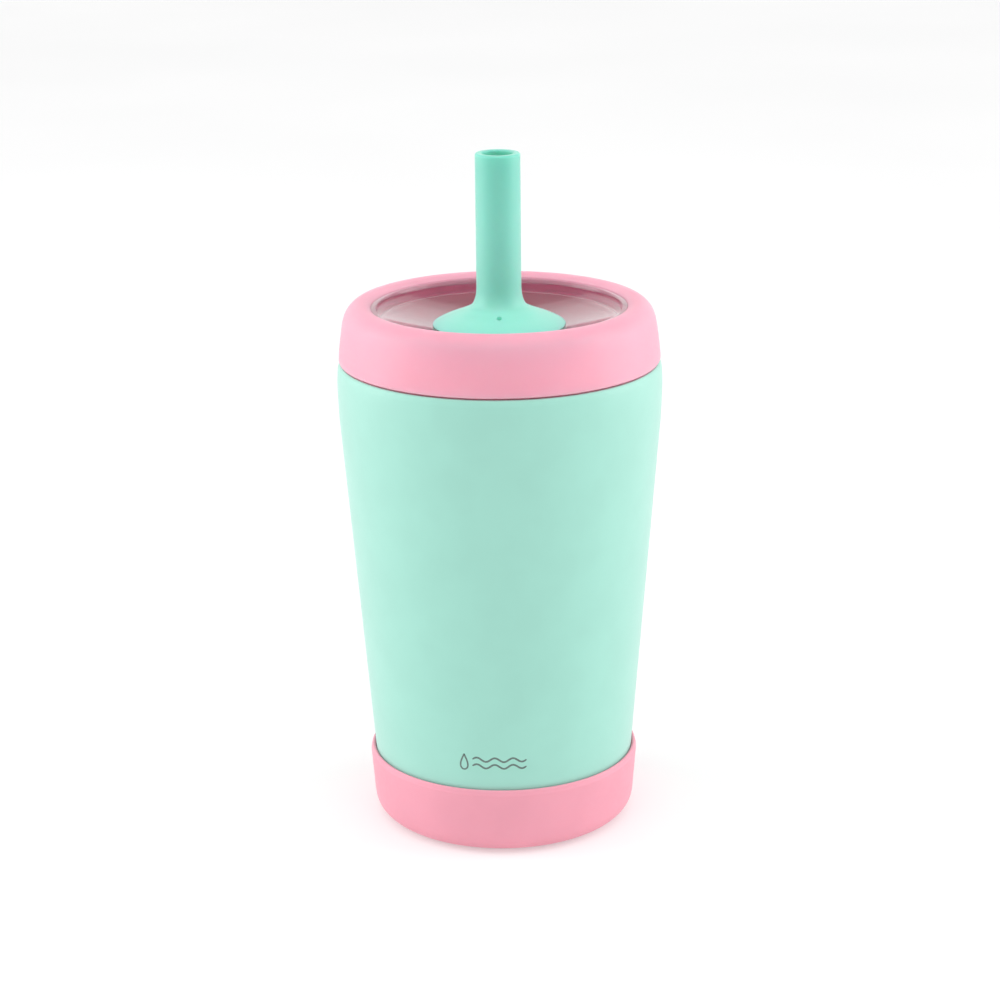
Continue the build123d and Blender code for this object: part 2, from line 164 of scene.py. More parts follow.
def lathe(name, pts, seg, closed=True, sharp=38.0):
    """Solid of revolution about Z. An outline that touches the axis is closed by it."""
    pts = list(pts)
    if closed and math.hypot(pts[0][0] - pts[-1][0], pts[0][1] - pts[-1][1]) < 1e-4:
        pts.pop()
    bm = bmesh.new()
    rings = []
    for r, z in pts:
        if r < 1e-6:
            rings.append([bm.verts.new((0, 0, z * MM))])
        else:
            rings.append([bm.verts.new((r * MM * math.cos(2 * math.pi * j / seg),
                                        r * MM * math.sin(2 * math.pi * j / seg), z * MM)) for j in range(seg)])
    count = len(rings)
    for i in range(count):
        if i == count - 1 and not closed:
            break
        a, b = rings[i], rings[(i + 1) % count]
        if len(a) == 1 and len(b) == 1:
            continue
        for j in range(seg):
            k = (j + 1) % seg
            if len(a) == 1:
                bm.faces.new((a[0], b[j], b[k]))
            elif len(b) == 1:
                bm.faces.new((a[j], a[k], b[0]))
            else:
                bm.faces.new((a[j], a[k], b[k], b[j]))
    bmesh.ops.recalc_face_normals(bm, faces=bm.faces)
    return finish_mesh(name, bm, sharp)


def finish_mesh(name, bm, sharp=38.0):
    me = bpy.data.meshes.new(name)
    bm.to_mesh(me)
    bm.free()
    me.polygons.foreach_set("use_smooth", [True] * len(me.polygons))
    me.set_sharp_from_angle(angle=math.radians(sharp))
    ob = bpy.data.objects.new(name, me)
    bpy.context.scene.collection.objects.link(ob)
    return ob


def cylinder_mesh(name, x, y, z0, z1, r0, r1, seg=48):
    bm = bmesh.new()
    low = [bm.verts.new(((x + r0 * math.cos(2 * math.pi * j / seg)) * MM,
                         (y + r0 * math.sin(2 * math.pi * j / seg)) * MM, z0 * MM)) for j in range(seg)]
    high = [bm.verts.new(((x + r1 * math.cos(2 * math.pi * j / seg)) * MM,
                          (y + r1 * math.sin(2 * math.pi * j / seg)) * MM, z1 * MM)) for j in range(seg)]
    for j in range(seg):
        k = (j + 1) % seg
        bm.faces.new((low[j], low[k], high[k], high[j]))
    bm.faces.new(low[::-1])
    bm.faces.new(high)
    bmesh.ops.recalc_face_normals(bm, faces=bm.faces)
    return finish_mesh(name, bm)


def cut(ob, tool, sharp=38.0):
    """Takes tool's volume out of ob, and removes tool."""
    mod = ob.modifiers.new("cut", "BOOLEAN")
    mod.operation = "DIFFERENCE"
    mod.solver = "EXACT"
    mod.object = tool
    bpy.context.view_layer.update()
    dg = bpy.context.evaluated_depsgraph_get()
    me = bpy.data.meshes.new_from_object(ob.evaluated_get(dg))
    ob.modifiers.clear()
    old = ob.data
    ob.data = me
    bpy.data.meshes.remove(old)
    bpy.data.objects.remove(tool)
    me.polygons.foreach_set("use_smooth", [True] * len(me.polygons))
    me.set_sharp_from_angle(angle=math.radians(sharp))
    return ob


# ------------------------------------------------------------------ materials

def srgb(r, g, b):
    def lin(c):
        c /= 255.0
        return c / 12.92 if c <= 0.04045 else ((c + 0.055) / 1.055) ** 2.4
    return (lin(r), lin(g), lin(b), 1.0)


class Mat:
    def __init__(self, name):
        self.m = bpy.data.materials.new(name)
        self.m.use_nodes = True
        self.nt = self.m.node_tree
        self.nt.nodes.clear()
        self.out = self.nt.nodes.new("ShaderNodeOutputMaterial")
        self.b = self.nt.nodes.new("ShaderNodeBsdfPrincipled")
        self.nt.links.new(self.b.outputs[0], self.out.inputs[0])
        tc = self.nt.nodes.new("ShaderNodeTexCoord")
        self.co = tc.outputs["Object"]

    def set(self, **kw):
        for k, v in kw.items():
            self.b.inputs[k.replace("_", " ")].default_value = v
        return self

    def link(self, a, b):
        self.nt.links.new(a, b)

    def node(self, kind, **inputs):
        n = self.nt.nodes.new(kind)
        for k, v in inputs.items():
            n.inputs[k.replace("_", " ")].default_value = v
        return n

    def noise(self, scale, detail=3.0, rough=0.5, vector=None):
        n = self.node("ShaderNodeTexNoise", Scale=scale, Detail=detail, Roughness=rough)
        self.link(vector or self.co, n.inputs["Vector"])
        return n.outputs["Fac"]

    def stretched(self, sx, sy, sz):
        m = self.node("ShaderNodeMapping")
        m.inputs["Scale"].default_value = (sx, sy, sz)
        self.link(self.co, m.inputs["Vector"])
        return m.outputs["Vector"]

    def turned(self, around, along):
        """Coordinates that follow the lathe: (angle, radius, height)."""
        sep = self.node("ShaderNodeSeparateXYZ")
        self.link(self.co, sep.inputs[0])
        ang = self.nt.nodes.new("ShaderNodeMath")
        ang.operation = "ARCTAN2"
        self.link(sep.outputs["Y"], ang.inputs[0])
        self.link(sep.outputs["X"], ang.inputs[1])
        rad = self.nt.nodes.new("ShaderNodeVectorMath")
        rad.operation = "LENGTH"
        flat = self.node("ShaderNodeCombineXYZ")
        self.link(sep.outputs["X"], flat.inputs[0])
        self.link(sep.outputs["Y"], flat.inputs[1])
        self.link(flat.outputs[0], rad.inputs[0])
        comb = self.node("ShaderNodeCombineXYZ")
        self.link(ang.outputs[0], comb.inputs[0])
        self.link(rad.outputs["Value"], comb.inputs[1])
        self.link(sep.outputs["Z"], comb.inputs[2])
        m = self.node("ShaderNodeMapping")
        m.inputs["Scale"].default_value = (around, along, along)
        self.link(comb.outputs[0], m.inputs["Vector"])
        return m.outputs["Vector"]

    def tint(self, fac, a, b, lo=0.35, hi=0.65):
        r = self.nt.nodes.new("ShaderNodeValToRGB")
        r.color_ramp.elements[0].position = lo
        r.color_ramp.elements[0].color = a
        r.color_ramp.elements[1].position = hi
        r.color_ramp.elements[1].color = b
        self.link(fac, r.inputs["Fac"])
        self.link(r.outputs["Color"], self.b.inputs["Base Color"])
        return self

    def rough(self, fac, lo, hi):
        r = self.node("ShaderNodeMapRange")
        r.inputs["From Min"].default_value = 0.3
        r.inputs["From Max"].default_value = 0.7
        r.inputs["To Min"].default_value = lo
        r.inputs["To Max"].default_value = hi
        self.link(fac, r.inputs["Value"])
        self.link(r.outputs["Result"], self.b.inputs["Roughness"])
        return self

    def bump(self, fac, strength, distance, after=None):
        n = self.node("ShaderNodeBump", Strength=strength, Distance=distance)
        self.link(fac, n.inputs["Height"])
        if after is not None:
            self.link(after, n.inputs["Normal"])
        self.link(n.outputs["Normal"], self.b.inputs["Normal"])
        return n.outputs["Normal"]


def scaled(c, k):
    return (c[0] * k, c[1] * k, c[2] * k, 1.0)


# matte powder coat on steel: very fine orange peel under a soft sheen
MINT = srgb(153, 213, 197)
coat = Mat("mint_powder_coat").set(Specular_IOR_Level=0.8, Sheen_Weight=0.30, Sheen_Roughness=0.45)
coat.tint(coat.noise(90, 2), scaled(MINT, 0.985), scaled(MINT, 1.015))
coat.rough(coat.noise(1400, 3), 0.44, 0.54)
n1 = coat.bump(coat.noise(1500, 2, 0.55), 0.10, 0.00006)
coat.bump(coat.noise(5200, 1, 0.5), 0.06, 0.00003, after=n1)

# silicone: dull, a little soft in the light
BOOT = srgb(236, 154, 172)
boot_m = Mat("pink_silicone").set(Specular_IOR_Level=0.7, Subsurface_Weight=0.12, Subsurface_Scale=0.004)
boot_m.b.inputs["Subsurface Radius"].default_value = (1.0, 0.45, 0.4)
boot_m.tint(boot_m.noise(60, 3), scaled(BOOT, 0.975), scaled(BOOT, 1.02))
boot_m.rough(boot_m.noise(900, 3), 0.5, 0.62)
n1 = boot_m.bump(boot_m.noise(700, 3, 0.6), 0.08, 0.00008)
boot_m.bump(boot_m.noise(4200, 2, 0.5), 0.10, 0.00003, after=n1)

# moulded pink plastic with a fine spark-eroded grain
COLLAR = srgb(244, 162, 181)
collar_m = Mat("pink_moulded_plastic").set(Specular_IOR_Level=0.8, Subsurface_Weight=0.7, Subsurface_Scale=0.006)
collar_m.b.inputs["Subsurface Radius"].default_value = (1.0, 0.62, 0.78)
collar_m.tint(collar_m.noise(50, 3), scaled(COLLAR, 0.98), scaled(COLLAR, 1.015))
collar_m.rough(collar_m.noise(1100, 3), 0.46, 0.56)
collar_m.bump(collar_m.noise(3800, 2, 0.6), 0.12, 0.00003)

# mint silicone of the straw
STRAW = srgb(130, 220, 200)
straw_m = Mat("mint_silicone").set(Specular_IOR_Level=0.8, Subsurface_Weight=0.5, Subsurface_Scale=0.004, Sheen_Weight=0.30, Sheen_Roughness=0.45)
straw_m.b.inputs["Subsurface Radius"].default_value = (0.28, 1.0, 0.74)
# painted light: the straw is painted paler towards its foot and flange and darker towards its top, standing in for how
# the light from above falls on them
sep = straw_m.node("ShaderNodeSeparateXYZ")
straw_m.link(straw_m.co, sep.inputs[0])
painted_foot_light = straw_m.node("ShaderNodeMapRange", From_Min=0.138, From_Max=0.1775, To_Min=0.32, To_Max=0.64)
straw_m.link(sep.outputs["Z"], painted_foot_light.inputs["Value"])
speck_and_painted_light = straw_m.node("ShaderNodeMath")
speck_and_painted_light.operation = "MULTIPLY_ADD"
speck_and_painted_light.inputs[1].default_value = 0.06
straw_m.link(straw_m.noise(120, 3), speck_and_painted_light.inputs[0])
straw_m.link(painted_foot_light.outputs["Result"], speck_and_painted_light.inputs[2])
# the noise speckle is the silicone's own random tone; the height ramp under it is painted light
straw_m.tint(speck_and_painted_light.outputs[0], scaled(srgb(136, 220, 200), 1.07), scaled(srgb(122, 220, 200), 0.84))
straw_m.rough(straw_m.noise(1300, 3), 0.42, 0.54)
straw_m.bump(straw_m.noise(3600, 2, 0.5), 0.08, 0.00003)

# clear copolyester: light passes straight through each wall, and the gloss rises towards grazing
clear_m = Mat("clear_copolyester")
nt = clear_m.nt
nt.links.clear()
nt.nodes.remove(clear_m.b)
tr = nt.nodes.new("ShaderNodeBsdfTransparent")
ramp = nt.nodes.new("ShaderNodeValToRGB")
ramp.color_ramp.elements[0].position = 0.35
ramp.color_ramp.elements[0].color = (0.955, 0.945, 0.952, 1)
ramp.color_ramp.elements[1].position = 0.65
ramp.color_ramp.elements[1].color = (0.975, 0.965, 0.970, 1)
nt.links.new(clear_m.noise(40, 2), ramp.inputs["Fac"])
nt.links.new(ramp.outputs["Color"], tr.inputs["Color"])
gl = nt.nodes.new("ShaderNodeBsdfGlossy")
gl.inputs["Color"].default_value = (1, 1, 1, 1)
gr = nt.nodes.new("ShaderNodeMapRange")
gr.inputs["From Min"].default_value = 0.3
gr.inputs["From Max"].default_value = 0.7
gr.inputs["To Min"].default_value = 0.05
gr.inputs["To Max"].default_value = 0.09
nt.links.new(clear_m.noise(500, 2), gr.inputs["Value"])
nt.links.new(gr.outputs["Result"], gl.inputs["Roughness"])
lw = nt.nodes.new("ShaderNodeLayerWeight")
lw.inputs["Blend"].default_value = 0.5
curve = nt.nodes.new("ShaderNodeMath")
curve.operation = "POWER"
curve.inputs[1].default_value = 4.6
nt.links.new(lw.outputs["Facing"], curve.inputs[0])
refl = nt.nodes.new("ShaderNodeMapRange")
refl.inputs["To Min"].default_value = 0.028
refl.inputs["To Max"].default_value = 1.0
nt.links.new(curve.outputs[0], refl.inputs["Value"])
mix = nt.nodes.new("ShaderNodeMixShader")
nt.links.new(refl.outputs["Result"], mix.inputs["Fac"])
nt.links.new(tr.outputs[0], mix.inputs[1])
nt.links.new(gl.outputs[0], mix.inputs[2])
nt.links.new(mix.outputs[0], clear_m.out.inputs[0])

# painted highlight: the same plastic made paler and less clear, standing in for the fine light line along the
# underside's inner corner
painted_highlight_m = Mat("clear_copolyester_painted_highlight")
nt = painted_highlight_m.nt
nt.links.clear()
painted_highlight_m.set(Specular_IOR_Level=0.5, Roughness=0.3)
painted_highlight_m.tint(painted_highlight_m.noise(300, 2), (0.95, 0.86, 0.89, 1), (0.98, 0.90, 0.92, 1))
tr = nt.nodes.new("ShaderNodeBsdfTransparent")
mix = nt.nodes.new("ShaderNodeMixShader")
mix.inputs["Fac"].default_value = 0.24
nt.links.new(tr.outputs[0], mix.inputs[1])
nt.links.new(painted_highlight_m.b.outputs[0], mix.inputs[2])
nt.links.new(mix.outputs[0], painted_highlight_m.out.inputs[0])

# bare stainless steel, satin, with the fine rings that turning and polishing leave
steel_m = Mat("satin_stainless").set(Metallic=1.0)
rings = steel_m.noise(1.0, 4, 0.6, steel_m.turned(3.0, 9000.0))
steel_m.tint(steel_m.noise(35, 3), (0.60, 0.60, 0.59, 1), (0.68, 0.67, 0.66, 1))
steel_m.rough(rings, 0.24, 0.36)
steel_m.bump(rings, 0.10, 0.00002)

# etched mark: bare steel left dull by the laser
etch_m = Mat("etched_steel").set(Metallic=0.35, Specular_IOR_Level=0.3)
etch_m.tint(etch_m.noise(2500, 2), srgb(100, 117, 112), srgb(118, 134, 129))
etch_m.rough(etch_m.noise(4000, 2), 0.5, 0.62)

# white translucent silicone of the lid's seal
seal_m = Mat("white_silicone").set(Specular_IOR_Level=0.4, Subsurface_Weight=0.3, Subsurface_Scale=0.003)
seal_m.b.inputs["Subsurface Radius"].default_value = (1.0, 0.95, 0.9)
seal_m.tint(seal_m.noise(200, 2), (0.80, 0.81, 0.79, 1), (0.86, 0.87, 0.85, 1))
seal_m.rough(seal_m.noise(1800, 2), 0.40, 0.52)
seal_m.bump(seal_m.noise(3000, 2), 0.06, 0.00003)

# natural polypropylene of the stem: milky, lets light through
stem_m = Mat("natural_polypropylene").set(Transmission_Weight=0.55, IOR=1.49, Subsurface_Weight=0.0)
stem_m.tint(stem_m.noise(150, 2), (0.84, 0.87, 0.86, 1), (0.90, 0.92, 0.91, 1))
stem_m.rough(stem_m.noise(900, 2), 0.28, 0.38)
stem_m.bump(stem_m.noise(1800, 2), 0.05, 0.00003)

# dull solder and sintered getter, both sealed inside
solder_m = Mat("solder").set(Metallic=0.9)
solder_m.tint(solder_m.noise(1500, 3), (0.30, 0.30, 0.31, 1), (0.42, 0.42, 0.43, 1))
solder_m.rough(solder_m.noise(2500, 3), 0.45, 0.65)
getter_m = Mat("sintered_getter").set(Metallic=0.2)
getter_m.tint(getter_m.noise(3500, 4), (0.10, 0.10, 0.105, 1), (0.18, 0.18, 0.185, 1))
getter_m.rough(getter_m.noise(5000, 3), 0.7, 0.9)
getter_m.bump(getter_m.noise(6000, 3), 0.3, 0.00005)


def wear(ob, mat):
    ob.data.materials.clear()
    ob.data.materials.append(mat.m)
    return ob


# ------------------------------------------------------------------ the cup

# outer wall: turned-in foot, straight taper, soft shoulder, rolled lip
zb = 5.8
p = Profile(29.2, 2.6)
p.to(shell_r(zb) - 3.2, 2.6)
p.arc(shell_r(zb) - 3.2, zb, 3.2, -90, 0, 10)
p.to(shell_r(104.8), 104.8, 24)
p.spline([(41.665, 109.6), (41.87, 114.4), (41.96, 118.7), (41.86, 121.4), (41.62, 123.0)],
         (TAPER, 1), (-0.32, 1), 5)
p.spline([(41.38, SEAM - 0.38), (40.95, SEAM)], (-0.32, 1), (-1, 0), 5)
p.to(40.35, SEAM)
p.to(40.35, SEAM - 0.5)
p.spline([(40.85, 123.35), (41.14, 122.85)], (1, 0), (0.32, -1), 4)
p.spline([(41.37, 121.2), (41.46, 118.6), (41.37, 114.4), (41.165, 109.6), (shell_r(104.8) - 0.5, 104.8)],
         (0.32, -1), (-TAPER, -1), 4)
p.to(shell_r(zb) - 0.5, zb, 12)
p.arc(shell_r(zb) - 3.2, zb, 2.7, 0, -90, 8)
p.to(29.2, 3.1)
shell = lathe("outer_wall", p.points(), 224)
wear(shell, coat)
# the coat stops at the lip, where the steel is bare
shell.data.materials.append(steel_m.m)
for f in shell.data.polygons:
    c = f.center
    if math.hypot(c.x, c.y) < 40.95 * MM and c.z > 122.0 * MM:
        f.material_index = 1
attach(shell, "cup")
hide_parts("outer_shell")

# inner wall with the straight neck
o0, zt = liner_r(14.0), 103.5
o1 = liner_r(zt)
p = Profile(o0, 14.0).to(o1, zt, 20)
p.spline([(40.3, 109.2)], (TAPER, 1), (0, 1), 10)
p.to(40.3, SEAM, 3)
p.spline([(40.05, SEAM + 0.0), (39.87, SEAM - 0.16), (39.8, SEAM - 0.45)], (-1, 0), (0, -1), 3)
p.to(39.8, 109.2, 3)
p.spline([(o1 - 0.5, zt)], (0, -1), (-TAPER, -1), 10)
p.to(o0 - 0.5, 14.0, 20)
liner = lathe("inner_wall_turned", p.points(), 224)
wear(liner, steel_m)
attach(liner, "cup")
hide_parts("inner_wall")

# pressed floor pan
r0 = o0 - 3.6
p = Profile(0, 10.2).to(19.0, 10.2, 4)
p.spline([(22.0, 9.6)], (1, 0), (1, 0), 6)
p.to(r0, 9.6)
p.spline([(o0, 14.0)], (1, 0), (TAPER, 1), 10)
p.to(o0 - 0.5, 14.0)
p.spline([(r0, 10.1)], (-TAPER, -1), (-1, 0), 10)
p.to(22.0, 10.1)
p.spline([(19.0, 10.7)], (-1, 0), (-1, 0), 6)
p.to(0, 10.7, 4)
pan = lathe("inner_floor_pressed", p.points(), 192, closed=False)
wear(pan, steel_m)
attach(pan, "cup")
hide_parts("inner_floor")

# thin cover disc under the cup, with its embossed ring
p = Profile(0, 3.0).to(23.6, 3.0, 6)
p.spline([(24.9, 2.75)], (1, 0), (1, 0), 5)
p.to(28.6, 2.75)
p.spline([(29.1, 3.25)], (1, 0), (0, 1), 5)
p.to(29.1, 4.35, ease=0.08).to(28.7, 4.35, ease=0.08).to(28.7, 3.45)
p.spline([(28.4, 3.15)], (0, -1), (-1, 0), 4)
p.to(25.1, 3.15)
p.spline([(23.8, 3.4)], (-1, 0), (-1, 0), 5)
p.to(0, 3.4, 6)
cover = lathe("bottom_cover_disc", p.points(), 160, closed=False)
wear(cover, steel_m)
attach(cover, "cup")
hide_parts("bottom_cover")

for node, mat in (("outer_bottom", steel_m), ("vacuum_seal", solder_m),
                  ("getter_tablet", getter_m), ("getter_clip", steel_m)):
    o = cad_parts[node]
    o.data.materials.clear()
    o.data.materials.append(mat.m)

# ------------------------------------------------------------------ the boot
ri = shell_r(zb) + 0.12
edge = shell_r(BOOT_TOP - 0.5) + 0.12
p = Profile(0, 0.7)
# shallow concentric ribs in the recess keep it from sliding
for k in range(5):
    a = 4.0 + 3.2 * k
    p.to(a, 0.7)
    p.spline([(a + 0.5, 0.45), (a + 1.0, 0.7)], (1, 0), (1, 0), 3)
p.to(20.6, 0.7)
p.spline([(22.1, 0.0)], (1, 0), (1, 0), 6)
p.to(24.0, 0.0)
for k in range(2):
    a = 24.0 + 1.8 * k
    p.to(a, 0.0)
    p.spline([(a + 0.35, 0.22), (a + 0.7, 0.0)], (0.6, 1), (0.6, -1), 3)
p.to(29.05, 0.0)
c = 5.8
p.spline([(29.05 + c * math.sin(math.radians(35)), c - c * math.cos(math.radians(35))),
          (29.05 + c * math.sin(math.radians(62)), c - c * math.cos(math.radians(62))),
          (34.84, 6.2)], (1, 0), (TAPER, 1), 8)
p.to(35.66, 16.7, 5)
p.spline([(35.50, 17.65), (35.04, BOOT_TOP)], (TAPER, 1), (-1, 0.1), 6)
p.spline([(edge, BOOT_TOP - 0.5)], (-1, 0.1), (-TAPER, -1), 6)
p.to(ri, zb, 5)
p.spline([(ri - 3.2, 2.45)], (-TAPER, -1), (-1, 0), 10)
p.to(0, 2.45, 5)
boot = lathe("base_boot_moulded", p.points(), 224, closed=False, sharp=50)
wear(boot, boot_m)
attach(boot, "boot")
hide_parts("base_boot")

# ------------------------------------------------------------------ the lid

# pink collar
p = Profile(38.45, SEAM)
p.to(40.4, SEAM, ease=0.1).to(40.6, SEAM + 0.46, ease=0.1).to(41.2, SEAM + 0.46)
p.spline([(41.44, SEAM + 0.72), (41.45, SEAM + 1.0)], (1, 0.2), (-0.03, 1), 4)
p.spline([(41.31, 126.9), (41.1, 128.8), (40.86, 130.7), (40.6, 132.5), (40.26, 134.5), (39.98, 135.5),
          (39.58, 136.5), (38.98, 137.42), (38.02, 138.38), (36.9, 138.98), (35.6, 139.2)],
         (-0.03, 1), (-1, 0), 6)
p.spline([(34.1, 138.95), (33.17, 138.36), (33.05, 138.1)], (-1, 0), (0, -1), 5)
p.to(33.05, 136.6, ease=0.1).to(38.45, 136.6, ease=0.2).to(38.45, SEAM)
collar = lathe("lid_collar_moulded", p.points(), 224)
wear(collar, collar_m)
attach(collar, "lid")
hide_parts("lid_collar")


# clear dish: a shallow spherical bowl inside a low level rim
SPHERE = 90.0
WALL = 1.8
UNDER = 134.75


def bowl(r):
    return 133.1 + (r * r - 17.4 * 17.4) / (2 * SPHERE)


def below(r):
    k = r / SPHERE
    n = math.hypot(1, k)
    return (r + WALL * k / n, bowl(r) - WALL / n)


lo, hi = 17.4, 31.0
for _ in range(40):
    mid = (lo + hi) / 2
    lo, hi = (mid, hi) if below(mid)[1] < UNDER else (lo, mid)
p = Profile(8.0, 133.1)
p.to(17.4, 133.1, 3)
for i in range(1, 43):
    r = 17.4 + (31.0 - 17.4) * i / 42
    p.to(r, bowl(r))
p.spline([(31.42, 137.3)], (1, 31.0 / SPHERE), (0.2, 1), 10)
p.to(31.5, 137.8)
p.spline([(31.8, DISH_TOP)], (0.2, 1), (1, 0), 8)
p.to(32.95, DISH_TOP, ease=0.12)
p.to(32.95, 136.5, ease=0.15).to(38.35, 136.5, ease=0.25)
p.to(38.35, 120.3, 4, ease=0.1).to(37.35, 120.3, ease=0.15).to(37.35, 113.9, ease=0.15).to(38.35, 113.9, ease=0.1)
p.to(38.35, 113.0, ease=0.15).to(37.85, 112.4, ease=0.15).to(36.5, 112.4, ease=0.25)
p.to(36.5, 130.8, 4, ease=0.12).to(35.8, 131.2, ease=0.12).to(35.8, 133.65)
p.spline([(34.7, UNDER)], (0, 1), (-1, 0), 8)
p.to(below(lo)[0] + 0.25, UNDER)
p.spline([below(lo - 0.25)], (-1, 0), (-1, -lo / SPHERE), 4)
for i in range(1, 31):
    r = lo - 0.25 + (17.4 + 1.6 - lo) * i / 30
    p.to(*below(r))
p.spline([(18.2, 131.3)], (-1, -0.2), (-1, 0), 3)
p.to(8.0, 131.3, 3, ease=0.12)
p.to(8.0, 133.1)
pts = p.points()
dish = lathe("lid_dish_clear", pts, 224)
cut(dish, cylinder_mesh("tool_vent", 0, -9.6, 129, 135, 0.8, 0.8))
wear(dish, clear_m)
# painted highlight: a thin band at the inner corner of the underside wears the paler material, so it shows as a fine
# light line through the bowl
dish.data.materials.append(painted_highlight_m.m)
for f in dish.data.polygons:
    c = f.center
    if c.z < (UNDER + 0.12) * MM and 30.3 * MM < math.hypot(c.x, c.y) < 30.95 * MM and c.z > 134.3 * MM:
        f.material_index = 1
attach(dish, "lid")
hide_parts("lid_dish")

# finned seal
gi, go, zl, zh = 37.4, 38.3, 114.0, 120.2
p = Profile(gi, zl).to(go, zl, ease=0.12)
for zf in (zl + 0.6, zl + 2.6, zl + 4.6):
    p.to(go, zf)
    p.spline([(38.9, zf + 0.12), (39.53, zf + 0.42), (39.65, zf + 0.62), (39.6, zf + 0.85), (39.3, zf + 0.93), (go, zf + 0.95)],
             (0.4, 0.3), (-1, -0.02), 3)
p.to(go, zh, ease=0.12).to(gi, zh, ease=0.12).to(gi, zl)
seal = lathe("lid_seal_finned", p.points(), 200, sharp=60)
wear(seal, seal_m)
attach(seal, "lid")
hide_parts("lid_seal")

# ------------------------------------------------------------------ the straw
fz = 133.15
p = Profile(3.9, 131.6)
p.to(3.9, SPOUT_TOP - 0.5, 12)
p.spline([(4.35, SPOUT_TOP)], (0, 1), (1, 0), 6)
p.to(5.26, SPOUT_TOP)
p.spline([(5.76, SPOUT_TOP - 0.55)], (1, 0), (0, -1), 6)
p.to(5.76, 143.4, 10)
p.spline([(5.95, 141.0), (6.3, 139.7), (7.05, 138.35), (8.55, 137.4), (10.7, 136.42)], (0, -1), (1, -0.42), 6)
p.spline([(13.2, 135.46), (15.1, 134.63), (16.3, 134.02), (16.88, 133.64), (17.05, 133.38), (16.8, fz)],
         (1, -0.42), (-1, -0.35), 6)
p.to(7.92, fz, 4).to(7.92, 122.4, 4).to(7.22, 121.5, ease=0.3).to(4.92, 121.5, ease=0.15).to(4.62, 121.9, ease=0.1)
p.to(4.62, 131.6, 4, ease=0.15).to(3.9, 131.6)
spout = lathe("straw_spout_moulded", p.points(), 128)
cut(spout, cylinder_mesh("tool_pinhole", 0, -9.6, 130, 140, 0.7, 0.7, 40))
wear(spout, straw_m)
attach(spout, "straw")
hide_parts("straw_spout")

# stem with its slanted, eased end
SR, SB = 4.55, 3.6
seg = 96
rise = math.tan(math.radians(35.0))
bm = bmesh.new()
rows = []
outline = [(SB, "low", 0.12), (SB + 0.12, "low", 0.0), (SR - 0.12, "low", 0.0), (SR, "low", 0.12)]
outline += [(SR, STEM_LOW + 8.0 + i * (STEM_TOP - 0.5 - STEM_LOW - 8.0) / 14, 0) for i in range(15)]
outline += [(SR - 0.12, STEM_TOP - 0.2, 0), (SR - 0.35, STEM_TOP, 0), (SB + 0.1, STEM_TOP, 0), (SB, STEM_TOP - 0.1, 0)]
outline += [(SB, STEM_TOP - 0.6 - i * (STEM_TOP - 0.6 - STEM_LOW - 8.0) / 14, 0) for i in range(15)]
for r, z, up in outline:
    row = []
    for j in range(seg):
        a = 2 * math.pi * j / seg
        x, y = r * math.cos(a), r * math.sin(a)
        zz = STEM_LOW + (x + SR) * rise + up if z == "low" else z
        row.append(bm.verts.new((x * MM, y * MM, zz * MM)))
    rows.append(row)
for i in range(len(rows)):
    a, b = rows[i], rows[(i + 1) % len(rows)]
    for j in range(seg):
        k = (j + 1) % seg
        bm.faces.new((a[j], a[k], b[k], b[j]))
bmesh.ops.recalc_face_normals(bm, faces=bm.faces)
stem = finish_mesh("straw_stem_tube", bm)
wear(stem, stem_m)
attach(stem, "straw")
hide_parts("straw_stem")


# ------------------------------------------------------------------ etched mark
# a plain drop over two ripples, low on the front, a little left of the middle

def on_shell(s, z, lift):
    r = shell_r(z) + lift
    a = s / shell_r(z)
    return Vector((r * math.sin(a), -r * math.cos(a), z)) * MM


def ribbon(bm, path, width, closed=False):
    """Thin closed strip laid on the coat along a path of (arc length, height)."""
    n = len(path)
    quads = []
    for i, (s, z) in enumerate(path):
        if closed:
            q0, q1 = path[(i - 1) % n], path[(i + 1) % n]
        else:
            q0, q1 = path[max(i - 1, 0)], path[min(i + 1, n - 1)]
        d = Vector((q1[0] - q0[0], q1[1] - q0[1])).normalized()
        w = width / 2
        if not closed:
            # rounded ends
            e = min(i, n - 1 - i)
            w *= (0.45, 0.8, 0.95)[e] if e < 3 else 1.0
        side = Vector((-d.y, d.x)) * w
        quads.append([bm.verts.new(on_shell(s + k * side.x, z + k * side.y, lift))
                      for k, lift in ((-1, -0.02), (1, -0.02), (1, 0.022), (-1, 0.022))])
    last = n if closed else n - 1
    for i in range(last):
        a, b = quads[i], quads[(i + 1) % n]
        for k in range(4):
            m = (k + 1) % 4
            bm.faces.new((a[k], a[m], b[m], b[k]))
    if not closed:
        bm.faces.new(quads[0])
        bm.faces.new(quads[-1][::-1])


bm = bmesh.new()
s0, zc = -3.0, 26.1
for row, (dz, left, right) in enumerate(((0.75, -5.2, 8.8), (-1.15, -5.2, 8.8))):
    steps = 72
    path = []
    for i in range(steps + 1):
        s = left + (right - left) * i / steps
        path.append((s0 + s, zc + dz + 0.55 * math.sin((s - left) / 4.67 * 2 * math.pi)))
    ribbon(bm, path, 0.5)
drop = []
for i in range(48):
    t = 2 * math.pi * i / 48
    w = 1.35 * math.sin(t) * math.sin(t / 2) ** 1.3
    drop.append((s0 - 7.4 + w, zc - 0.15 + 2.15 * math.cos(t)))
ribbon(bm, drop, 0.42, closed=True)
bmesh.ops.recalc_face_normals(bm, faces=bm.faces)
mark = finish_mesh("etched_mark", bm)
wear(mark, etch_m)
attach(mark, "cup")

